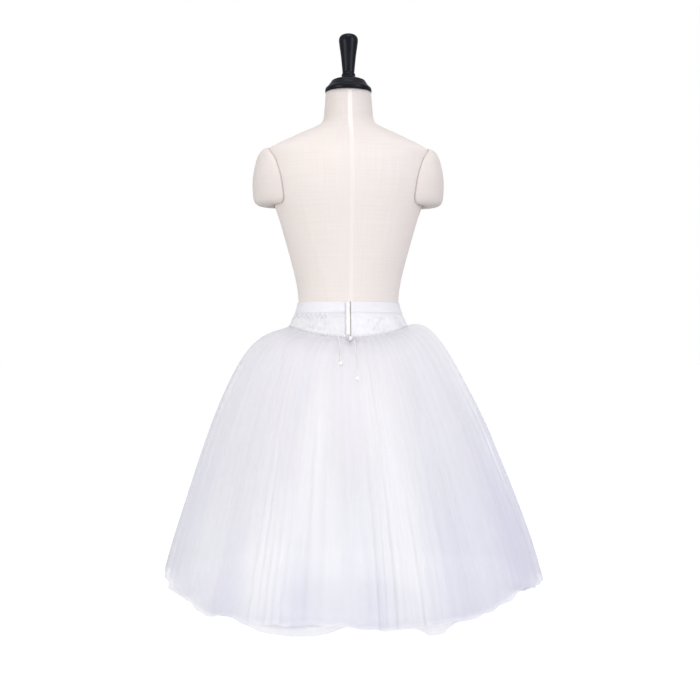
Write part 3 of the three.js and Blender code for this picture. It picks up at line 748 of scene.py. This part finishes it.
def form_line(start, end, bend=0.0):
    """A seam over the form between (angle, height) pairs, bowed sideways; angles in degrees."""
    share = np.linspace(0, 1, 60)
    angle = np.radians(lerp(start[0], end[0], share) + bend * np.sin(np.pi * share))
    return on_form(angle, lerp(start[1], end[1], share), SEAM_OUT)


def add_form_seams():
    """The covering's seams: princess seams back and front, side seams and a round neck seam."""
    foot = FORM_FOOT + 2
    over, under = WAIST_GAP
    parts = []
    for side in (-1, 1):
        parts.append(form_line((side * 38, 960), (side * 26, over), side * 6))
        parts.append(form_line((side * 26, under), (side * 27, foot)))
        parts.append(form_line((180 - side * 40, 980), (180 - side * 26, over), -side * 4))
        parts.append(form_line((side * 90, 868), (side * 90, over)))
        parts.append(form_line((side * 90, under), (side * 90, foot)))
    parts.append(on_form(np.linspace(0, AROUND, 120), FORM_TOP - 74, 0.15))
    seams = add_tubes("form_seams", [tube_parts(p, 0.3, 5) for p in parts], 0.03)
    dress(seams, LINEN, "linen")


def add_back_tape():
    """The pale strip over the form's centre-back seam."""
    half_width = 5
    heights = np.linspace(FORM_TOP - 3, WAIST_HEIGHT - 1, 180)
    across = np.linspace(-1, 1, 9)[:, None]
    angle = math.radians(1.2) + across * half_width / form_size(heights)[0]
    raised = 0.45 * (1 - across**4) + 0.05
    grid = on_form(angle, heights, raised)
    uv = grid_uv(across * half_width * MM, heights * MM)
    tape = dress(add_sheet_mesh("back_tape", grid, False, uv), TAPE, "linen")


def add_arm_plate(side):
    """A padded plate: inside it follows the armhole, outside it is round, its lower edge turned."""
    word = "left" if side < 0 else "right"
    rows = rings_of(f"arm_plate_{word}")
    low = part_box(f"arm_plate_{word}")[0].z / MM
    line = smooth_line([(z, half, back) for z, half, back, _ in rows], 90)[0]
    lip, gap, count = 7, 1.5, 64
    turn = np.linspace(-math.pi / 2, math.pi / 2, count)
    rings = []
    for z, out, deep in line:
        under = max(0.0, (low + lip - z) / lip)
        pull = lip * (1 - math.sqrt(max(0.0, 1 - under**2)))
        half, back, front = (float(size) + gap for size in form_size(z))
        deep = max(deep - pull * 0.6, 2)
        edges = np.arcsin(np.clip(deep / np.array([back, front]), 0, 0.98))
        seam = half * np.cos(np.where(turn < 0, edges[0], edges[1]))
        across = seam + (out - pull - seam) * np.cos(turn) ** 0.86
        outer = np.stack([across, deep * np.sin(turn), np.full(count, z)], axis=1)
        inward = np.linspace(math.pi / 2 + edges[1], math.pi / 2 - edges[0], count)[1:-1]
        rings.append(np.concatenate([outer, on_form(inward, z, gap)]))
    rings = np.array(rings)
    if side < 0:
        rings = rings[:, ::-1] * np.array([-1, 1, 1])
    # the whole plate is darkened: painted shade
    plate = add_loft(f"arm_pad_{word}", rings, [("shade", np.full(rings.shape[:2], 0.1))])
    dress(plate, LINEN, "linen", f"arm_plate_{word}")


def add_cap_and_finial():
    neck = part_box("neck_cap")[0].z / MM - SEAM_GAP
    dress(add_turned("cap_black", CAP, neck), LACQUER, "black_lacquer", "neck_cap")
    dress(add_turned("finial_black", FINIAL, neck), LACQUER, "black_lacquer", "finial")


def add_stand():
    dress(add_turned("base_white", BASE, segments=160), ENAMEL, "white_enamel", "stand_base")
    low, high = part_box("stand_pole")
    radius, foot, top, edge = high.x / MM, low.z / MM, high.z / MM, 0.6
    pole = [(2, foot), (radius - edge, foot), (radius, foot + edge)]
    pole += [(radius, top - edge), (radius - edge, top), (2, top)]
    dress(add_turned("pole_white", pole, segments=64), ENAMEL, "white_enamel", "stand_pole")


# ---- waistband, basque and opening

BASQUE_OUT = CLOTH_CLEARANCE + BASQUE_WALL
BAND_OUT = CLOTH_CLEARANCE + BAND_WALL
HALF_OPENING = OPENING_WIDTH / 2
BAND_LENGTH = AROUND * 0.101  # metres
BASQUE_REACH = 0.118  # metres from the axis, where a basque's flat width is taken
# The basques' crinkles: waves round, waves a metre down, and size.
CRINKLES = [(19, 24, 0.5), (31, -38, 0.4), (11, 66, 0.45), (83, 22, 0.25), (57, -75, 0.22)]


def opening_angle(height, from_middle):
    return np.arcsin(from_middle / form_size(height)[0])


def opening_edge(height):
    return opening_angle(height, HALF_OPENING)


def bulge_of(angle):
    return np.cos(angle) ** 2


def seam_height(angle):
    """Where the outer tulle leaves the basque."""
    return WAIST_HEIGHT - SEAM_BELOW_WAIST - SEAM_DIP * bulge_of(angle)


def ripple(angle, height, seed, waves):
    """A seeded sum of slanting waves: rows of waves round, waves a metre down and size."""
    rng = np.random.default_rng(seed)
    total = 0
    for around, down, size in waves:
        turns = around * angle + down * height * MM * AROUND
        total = total + size * np.sin(turns + rng.uniform(0, AROUND))
    return total


def add_waistband():
    columns, rows = 620, 22
    heights = np.linspace(WAIST_HEIGHT, BAND_BOTTOM, rows)
    start = opening_edge(heights)
    u = np.linspace(0, 1, columns)[:, None]
    angle = start + (AROUND - 2 * start) * u
    wobble = ripple(angle, heights, 3, [(9, 3, 0.16), (23, 9, 0.1), (41, 20, 0.07)])
    turned_edge = -0.5 * bump(heights - WAIST_HEIGHT, 1.0) - 0.15 * bump(heights - BAND_BOTTOM, 1.0)
    grid = on_form(angle, heights, BAND_OUT + wobble + turned_edge)
    uv = grid_uv(u * BAND_LENGTH, (heights - BAND_BOTTOM) * MM)
    band = solidify(add_sheet_mesh("waistband_cloth", grid, False, uv), BAND_WALL - 0.3)
    dress(band, ELASTIC, "band_cloth", "waistband")


def add_basque(name, node, start_of, end_of, columns, seed, panel_shade):
    """A basque panel: crinkled from band to seam, its edge turned over the tulle, plain below, with
    painted shade.
    """
    down = np.linspace(0, 1, 64)[None, :]
    u = np.linspace(0, 1, columns)[:, None]
    near = lerp(start_of(WAIST_HEIGHT - 60), end_of(WAIST_HEIGHT - 60), u)
    top = BAND_BOTTOM - SEAM_GAP / 3
    height = lerp(top, seam_height(near) + 1.6, down)
    angle = lerp(start_of(height), end_of(height), u)
    drop = BAND_BOTTOM - height
    below_zigzag = smoothstep(9, 14, drop)
    crinkle = ripple(angle, height, seed, CRINKLES) * (0.5 + 0.5 * np.sin(7 * near + seed))
    puckers = 150 * near + 3 * np.sin(23 * near)
    pucker = 0.5 * np.sin(puckers) * smoothstep(0.55, 1, down)
    calm = smoothstep(0, 5, np.minimum(u, 1 - u) * (columns - 1))
    flare = 1.1 * smoothstep(0.86, 1, down) + 0.35 * bump(down - 0.02, 0.03)
    out = BASQUE_OUT + flare + (crinkle * below_zigzag + pucker) * calm
    inner_height = seam_height(near) + 0.8 - np.array([[0.8, 2.4, 5, BASQUE_UNDERLAP]])
    inner_angle = lerp(start_of(inner_height), end_of(inner_height), u)
    inner = on_form(inner_angle, inner_height, BASQUE_OUT + np.array([[0.5, 0, -0.1, -0.1]]))
    grid = np.concatenate([on_form(angle, height, out), inner], axis=1)
    level = WAIST_HEIGHT - SEAM_BELOW_WAIST
    width = float(np.mean(abs(end_of(level) - start_of(level)))) * BASQUE_REACH
    uv = grid_uv(u * width, (top - grid[:, :, 2]) * MM)
    dash = smoothstep(0.35, 0.6, 0.5 + 0.5 * np.sin(puckers + 2))
    # painted shade along the top-stitch rows
    stitch_shade = 0.12 * (bump(drop - 3.2, 0.8) + bump(drop - 9.6, 0.8))
    stitch_shade = stitch_shade * smoothstep(-0.45, -0.3, np.sin(angle))
    # painted shade in the crinkles' troughs
    crease_shade = 0.12 * smoothstep(0.1, 1.1, -crinkle) * below_zigzag
    # a painted shadow under the turned edge, broken into dashes by the puckers
    hem = (0.05 + 0.16 * dash) * smoothstep(0.9, 0.95, down)
    # the part that lies under the tulle is darkened: painted shade
    shade = np.concatenate([panel_shade + stitch_shade + crease_shade + hem, 0.35 + 0 * inner_height], axis=1)
    sheet = add_sheet_mesh(name, grid, False, uv, [("shade", shade)])
    panel = dress(solidify(sheet, BASQUE_WALL - 0.35), BASQUE_COTTON, "basque_cloth", node)


def seam_beside(height, sign):
    """The side-back seam's angle, a little to one side of it."""
    return SIDE_BACK_SEAM + sign * SEAM_GAP / form_size(height)[0] / 2


def add_basques():
    def seam(height):
        return seam_beside(height, -1)

    def front_seam(height):
        return seam_beside(height, 1)

    right, left, front = "basque_back_right", "basque_back_left", "basque_front"
    # The last number is each panel's painted shade, most on the left panel.
    add_basque("basque_right_cloth", right, opening_edge, seam, 190, 11, 0.03)
    left_edges = (lambda h: -seam(h), lambda h: -opening_edge(h))
    add_basque("basque_left_cloth", left, *left_edges, 190, 12, 0.12)
    front_edges = (front_seam, lambda h: AROUND - front_seam(h))
    add_basque("basque_front_cloth", front, *front_edges, 520, 13, 0.04)


PLACKET_WIDTH = 7.5
PLACKET_LAP = 1.5  # it stands over the opening by this much
PLACKET_EDGE = HALF_OPENING + PLACKET_WIDTH
ROW_STITCHES = 210  # in a row of top-stitching
BAND_ZIGZAG_LEGS = 14
PLACKET_ZIGZAG_LEGS = 17


def add_placket():
    """The folded strip beside the opening, a little wavy, on top of band and basque."""
    low, high = (corner.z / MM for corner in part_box("placket_strip"))
    heights = np.linspace(high, low, 90)
    across = np.linspace(0, 1, 15)[:, None]
    outer = opening_angle(heights, PLACKET_EDGE)
    inner = opening_angle(heights, HALF_OPENING - PLACKET_LAP)
    wave = 0.3 * np.sin(heights * 0.21) + 0.2 * np.sin(heights * 0.47 + 1)
    angle = -lerp(outer + 0.002 * np.sin(heights * 0.3), inner + wave / 120, across)
    roll = 1.2 * (1 - (abs(2 * across - 1)) ** 3.5) + 0.12 * np.sin(heights * 0.9)
    grid = on_form(angle, heights, BAND_OUT + SEAM_GAP + 0.35 + roll)
    uv = grid_uv(across * PLACKET_WIDTH * MM, heights * MM)
    strip = solidify(add_sheet_mesh("placket_cloth", grid, False, uv), 0.7)
    dress(strip, PLACKET_COTTON, "basque_cloth", "placket_strip")


def zigzag_legs(across, along, gap, count):
    """The points of each leg between two rows of corners, ending a share gap short of them."""
    share = np.linspace(gap, 1 - gap, count)
    for k in range(len(across) - 1):
        yield lerp(across[k], across[k + 1], share), lerp(along[k], along[k + 1], share)


def add_stitches():
    """Three rows of top-stitching, crossed zigzags under the band and one beside the opening."""
    start = float(opening_angle(BAND_BOTTOM, PLACKET_EDGE + 2))
    parts, crossed, beside = [], [], []
    for rise, out in ((1.6, BAND_OUT + 0.05), (-3.2, BASQUE_OUT + 0.25), (-9.6, BASQUE_OUT + 0.25)):
        for k in range(ROW_STITCHES):
            share = (k + np.linspace(0, 0.72, 4)) / ROW_STITCHES
            path = on_form(start + (AROUND - 2 * start) * share, BAND_BOTTOM + rise, out)
            parts.append(tube_parts(path, 0.32, 5))
    corners = np.arange(BAND_ZIGZAG_LEGS + 1)
    angles = np.arcsin(np.linspace(-0.97, -0.4, len(corners)))
    for made, sign in ((parts, 1), (crossed, -1)):
        heights = BAND_BOTTOM - 7.4 + sign * 5.2 * (-1.0) ** corners
        for angle, height in zigzag_legs(angles, heights, 0.04, 6):
            leg = on_form(angle, height, BASQUE_OUT + 0.5 - 0.25 * sign)
            made.append(tube_parts(leg, 0.6, 5))
    low, high = (c.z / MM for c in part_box("placket_strip"))
    corners = np.arange(PLACKET_ZIGZAG_LEGS + 1)
    heights = np.linspace(high - 1.5, low + 1.5, len(corners))
    sideways = PLACKET_EDGE + 0.2 + 2.4 * (-1.0) ** corners
    for aside, height in zigzag_legs(sideways, heights, 0.03, 4):
        out = BAND_OUT + SEAM_GAP + 0.6 + 1.0 * (aside < PLACKET_EDGE)
        leg = on_form(-opening_angle(height, aside), height, out)
        beside.append(tube_parts(leg, 0.48, 5))
    dress(add_tubes("band_stitches", parts), THREAD, "basque_cloth")
    # the crossing legs and the zigzag beside the opening use the darker thread copy: painted shade
    dress(add_tubes("band_cross_stitches", crossed), SHADED_THREAD, "basque_cloth")
    dress(add_tubes("placket_stitches", beside), SHADED_THREAD, "basque_cloth")


def add_tack():
    """The white bar tack at the foot of the opening: three loops of thread, each tilted."""
    low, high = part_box("opening_tack")
    centre, half = (np.array(v / 2) / MM for v in (low + high, high - low))
    thread = 1.15
    parts = []
    for tilt, squeeze in ((0.15, 1.0), (-0.5, 0.82), (0.9, 0.75)):
        path = knot_path(90) * (half - thread) * squeeze
        c, s = math.cos(tilt), math.sin(tilt)
        turn = np.array([[c, 0, s], [0, 1, 0], [-s, 0, c]])
        path = path @ turn.T * 0.95 + centre
        parts.append(tube_parts(path, thread * squeeze, 7, 0.7, 3, 0.15))
    dress(add_tubes("tack_thread", parts), THREAD, "tie_cord", "opening_tack")


# ---- the tulle

SIDE_LINE, SIDE_SHARE = smooth_line([(reach, lean, -z) for z, reach, lean in SKIRT_SECTIONS])
SIDE_TANGENT = np.gradient(SIDE_LINE, axis=0)
SIDE_TANGENT /= np.hypot(SIDE_TANGENT[:, 0], SIDE_TANGENT[:, 2])[:, None]


def side_line(share):
    """Reach, lean, rise and the outward direction's two parts at shares of the side line."""
    columns = [*SIDE_LINE.T, -SIDE_TANGENT[:, 2], SIDE_TANGENT[:, 0]]
    return [np.interp(share, SIDE_SHARE, column) for column in columns]


def sum_of_bumps(rows, angle, power=2):
    """The sum of a table's sizes, each near its own angle; a higher power makes tops flatter."""
    total = np.zeros(np.shape(angle))
    for centre, width, size in rows:
        away = abs(turned_from(angle, math.radians(centre))) / math.radians(width)
        total = total + size * np.exp(-(away**power))
    return total


def slit_sink(angle):
    return SLIT_SINK * bump(turned_from(angle, 0), SLIT_SPREAD)


def puff(angle, share):
    """How far the tulle puffs up just under its seam, at the sides."""
    side = np.sin(angle)
    rise = share / PUFF["at"] * np.exp(1 - share / PUFF["at"])
    return rise * (PUFF["tilt"] * side**3 + PUFF["lift"] * side**2)


def hem_drop(number, longer, angle):
    """How much lower a layer's hem hangs than the side line."""
    wander = 0
    for i, (size, turns) in enumerate(HEM_WANDER, 1):
        wander = wander + size * np.sin(turns * angle + i * number)
    peek = sum_of_bumps(HEM_PEEKS, angle, 4) if number == PEEKING_LAYER else 0
    return longer + wander + HEM_TILT * np.sin(angle) + peek - sum_of_bumps(HEM_LIFTS, angle)


def on_tulle(angle, share, under, out, longer):
    """Points of a tulle layer: out from the outer layer's crests, longer than the side line."""
    reach, lean, rise, out_x, out_z = side_line(share)
    seam_reach, _, _, seam_x, seam_z = (float(v) for v in side_line(0.0))
    dip = lerp(SEAM_DIP, HEM_DIP, share) * bulge_of(angle) + slit_sink(angle) * (1 - share) ** 6
    lengthen = share**2 * longer
    drop = SEAM_BELOW_WAIST + dip + lengthen * out_x - puff(angle, share)
    height = WAIST_HEIGHT + rise - drop + out_z * out
    seam_out = -CREST[0] - under[0]
    seam_level = seam_height(angle) - slit_sink(angle) + seam_z * seam_out
    held = np.maximum(0, 1 - share / SEAM_HOLD) ** 2
    seat = BASQUE_OUT + TULLE_SEAT
    at_seam = form_size(seam_level)
    at_here = form_size(height)

    def radius(index, flattening):
        shift = at_seam[index] + seat - (seam_reach - flattening + seam_x * seam_out)
        drape = reach + lengthen * out_z - flattening * (1 - share) ** 2
        return np.maximum(drape + out_x * out + held * shift, at_here[index] + seat)

    half = radius(0, 0)
    back, front = radius(1, SEAM_FLATTENING), radius(2, SEAM_FLATTENING)
    depth = np.where(np.cos(angle) > 0, back, front)
    return np.stack([lean + half * np.sin(angle), -depth * np.cos(angle), height], axis=-1)


def soft_noise(rng, around, down, across, along):
    """Smooth seeded noise, about -1 to 1: around (0 to 1) joins up at its ends, down is 0 to 1."""
    values = rng.uniform(-1, 1, (across, along + 1))
    x = (np.asarray(around) % 1) * across
    y = np.clip(down, 0, 1) * (along - 1e-6)
    i, j = x.astype(int), y.astype(int)
    fx, fy = smoothstep(0, 1, x - i), smoothstep(0, 1, y - j)
    here, after = i % across, (i + 1) % across
    upper, lower = (lerp(values[here, row], values[after, row], fx) for row in (j, j + 1))
    return lerp(upper, lower, fy)


def outward(grid):
    """Unit normals of a grid of columns that close round and rows that run down."""
    across = np.roll(grid, -1, axis=0) - np.roll(grid, 1, axis=0)
    normals = np.cross(np.gradient(grid, axis=1), across)
    return normals / np.linalg.norm(normals, axis=-1, keepdims=True)


def soften_shading(piece, grid, form_grid):
    """Turns a net's normals towards those of its broad form, as its threads are round."""
    own, wide = outward(grid), outward(form_grid)
    facing = np.sign((own * wide).sum(axis=-1, keepdims=True))
    blend = lerp(own, wide * facing, SOFTNESS)
    blend /= np.linalg.norm(blend, axis=-1, keepdims=True)
    piece.data.normals_split_custom_set_from_vertices(blend.reshape(-1, 3).tolist())


def spot(angle, share, centre, width, down, length, much):
    """A soft spot on the net, this much at its middle."""
    beside = bump(turned_from(angle, math.radians(centre)), math.radians(width))
    return much * beside * bump(share - down, length)


def net_light_and_shade(angle, share):
    """How much whiter than most the net is painted: painted light, and painted shade where less than
    0.
    """
    return sum(spot(angle, share, *row) for row in NET_LIGHT_AND_SHADE)


def add_tulle_layer(number, layer):
    """One tube of net: gathers that lap over themselves, deepen down the skirt and wander."""
    rng = np.random.default_rng(500 + number)
    folds, per_fold = layer["folds"], layer["per_fold"]
    columns = folds * per_fold
    phase = AROUND * np.arange(columns) / per_fold
    plain = phase / folds
    around = plain / AROUND
    half_fold = (phase // math.pi).astype(int) % (2 * folds)
    crest = ((phase + math.pi) // AROUND).astype(int) % folds
    trough = (phase // AROUND).astype(int) % folds

    lap = rng.uniform(*layer["lap"], 2 * folds)[half_fold]
    crest_height = rng.uniform(0.5, 1, folds)[crest]
    trough_height = rng.uniform(0.45, 1, folds)[trough]
    height = np.where(np.cos(phase) > 0, crest_height, trough_height)
    height = height * (1 - sum_of_bumps(CALM_PLACES, plain))
    pulse = rng.uniform(0, AROUND, folds)[crest]
    hem_step = rng.uniform(-2.4, 2.4, 2 * folds + 1)
    hem_step[-1] = hem_step[0]

    share = np.linspace(0, 1, layer["rows"]) ** 1.35
    s = share[None, :]
    crowd = 0.03 * np.sin(7 * plain + number) + 0.018 * np.sin(13 * plain + 2 * number)
    sway = 0.012 * np.sin(5 * plain + number)[:, None] * s
    sway = sway + 0.006 * np.sin(17 * plain)[:, None] * np.sin(4 * s)
    open_up = 0.55 + 0.45 * smoothstep(0.1, 0.9, s)
    level_angle = (plain + crowd)[:, None] + sway
    angle = level_angle + lap[:, None] * open_up * np.sin(2 * phase)[:, None] / folds

    deep = lerp(*layer["deep"], np.sqrt(s))
    breath = 1 - 0.2 * (1 + np.sin(5.5 * s + pulse[:, None]))
    fold_out = deep * (height * np.cos(phase))[:, None] * lerp(1, breath, smoothstep(0, 0.3, s))
    gather = 0.55 * np.sin(3 * phase + number)[:, None] * np.exp(-s / 0.1)
    creases = 0.35 * np.sin(2.5 * phase + 2 * np.sin(plain * 9))[:, None] * smoothstep(0.2, 0.8, s)
    crests = lerp(*CREST, np.sqrt(s))
    finer = FINE_SHARE * sum_of_bumps(FINE_FOLDS, level_angle) * smoothstep(0.1, 0.9, s)
    wide_out = sum_of_bumps(MAIN_FOLDS, level_angle) * s - 0.7 * crests
    wide_out = wide_out - np.interp(s, [0, 1 / 3, 1], layer["under"])
    out = fold_out + gather + creases + finer + wide_out - 0.3 * crests

    stepped = np.interp(phase / math.pi, np.arange(2 * folds + 1), hem_step)
    longer = (hem_drop(number, layer["longer"], plain) + stepped)[:, None]
    grid = on_tulle(angle, s + 0 * angle, layer["under"], out, longer)
    form_grid = on_tulle(level_angle, s + 0 * angle, layer["under"], wide_out, longer)

    streaks = soft_noise(rng, around[:, None], s, 330, 3) * 0.6
    streaks = streaks + soft_noise(rng, around[:, None], s, 130, 5) * 0.4
    broad = soft_noise(rng, around[:, None], s, 26, 4)
    drift = net_light_and_shade(level_angle, s)
    lapped = (abs(np.sin(phase)) ** 2 * (0.3 + 0.5 * lap))[:, None] * open_up
    edge = 0.16 * smoothstep(0.985, 1, s)
    cover = layer["cover"] * (1 - spot(level_angle, s, *THIN_PATCH))
    cover = cover + 0.035 * streaks + 0.04 * broad + 0.05 * lapped + edge
    cover = cover + 0.16 * smoothstep(0.5, 0.85, s) + 0.14 * np.maximum(drift, 0)
    # the net's tone: random variation, and painted light and painted shade from drift
    tone = 0.81 + 0.11 * broad + 0.035 * streaks + drift

    uv = grid_uv(around[:, None] * layer["flat"], s * NET_LENGTH * MM)
    layers = [("cover", np.clip(cover, 0.12, 0.95)), ("tone", np.clip(tone, 0, 1))]
    net = add_sheet_mesh(f"tulle_net_{number}", grid, True, uv, layers)
    soften_shading(net, grid, form_grid)
    dress(net, TULLE, "tulle", f"tulle_layer_{number}")


# ---- everything

add_camera()
add_tie("left", TIE_LEFT_ROUTE)
add_tie("right", TIE_RIGHT_ROUTE)
light_scene()
add_floor()
add_torso()
add_form_seams()
add_back_tape()
add_arm_plate(-1)
add_arm_plate(1)
add_cap_and_finial()
add_stand()
add_waistband()
add_basques()
add_placket()
add_stitches()
add_tack()
for number, layer in enumerate(TULLE_LAYERS, 1):
    add_tulle_layer(number, layer)
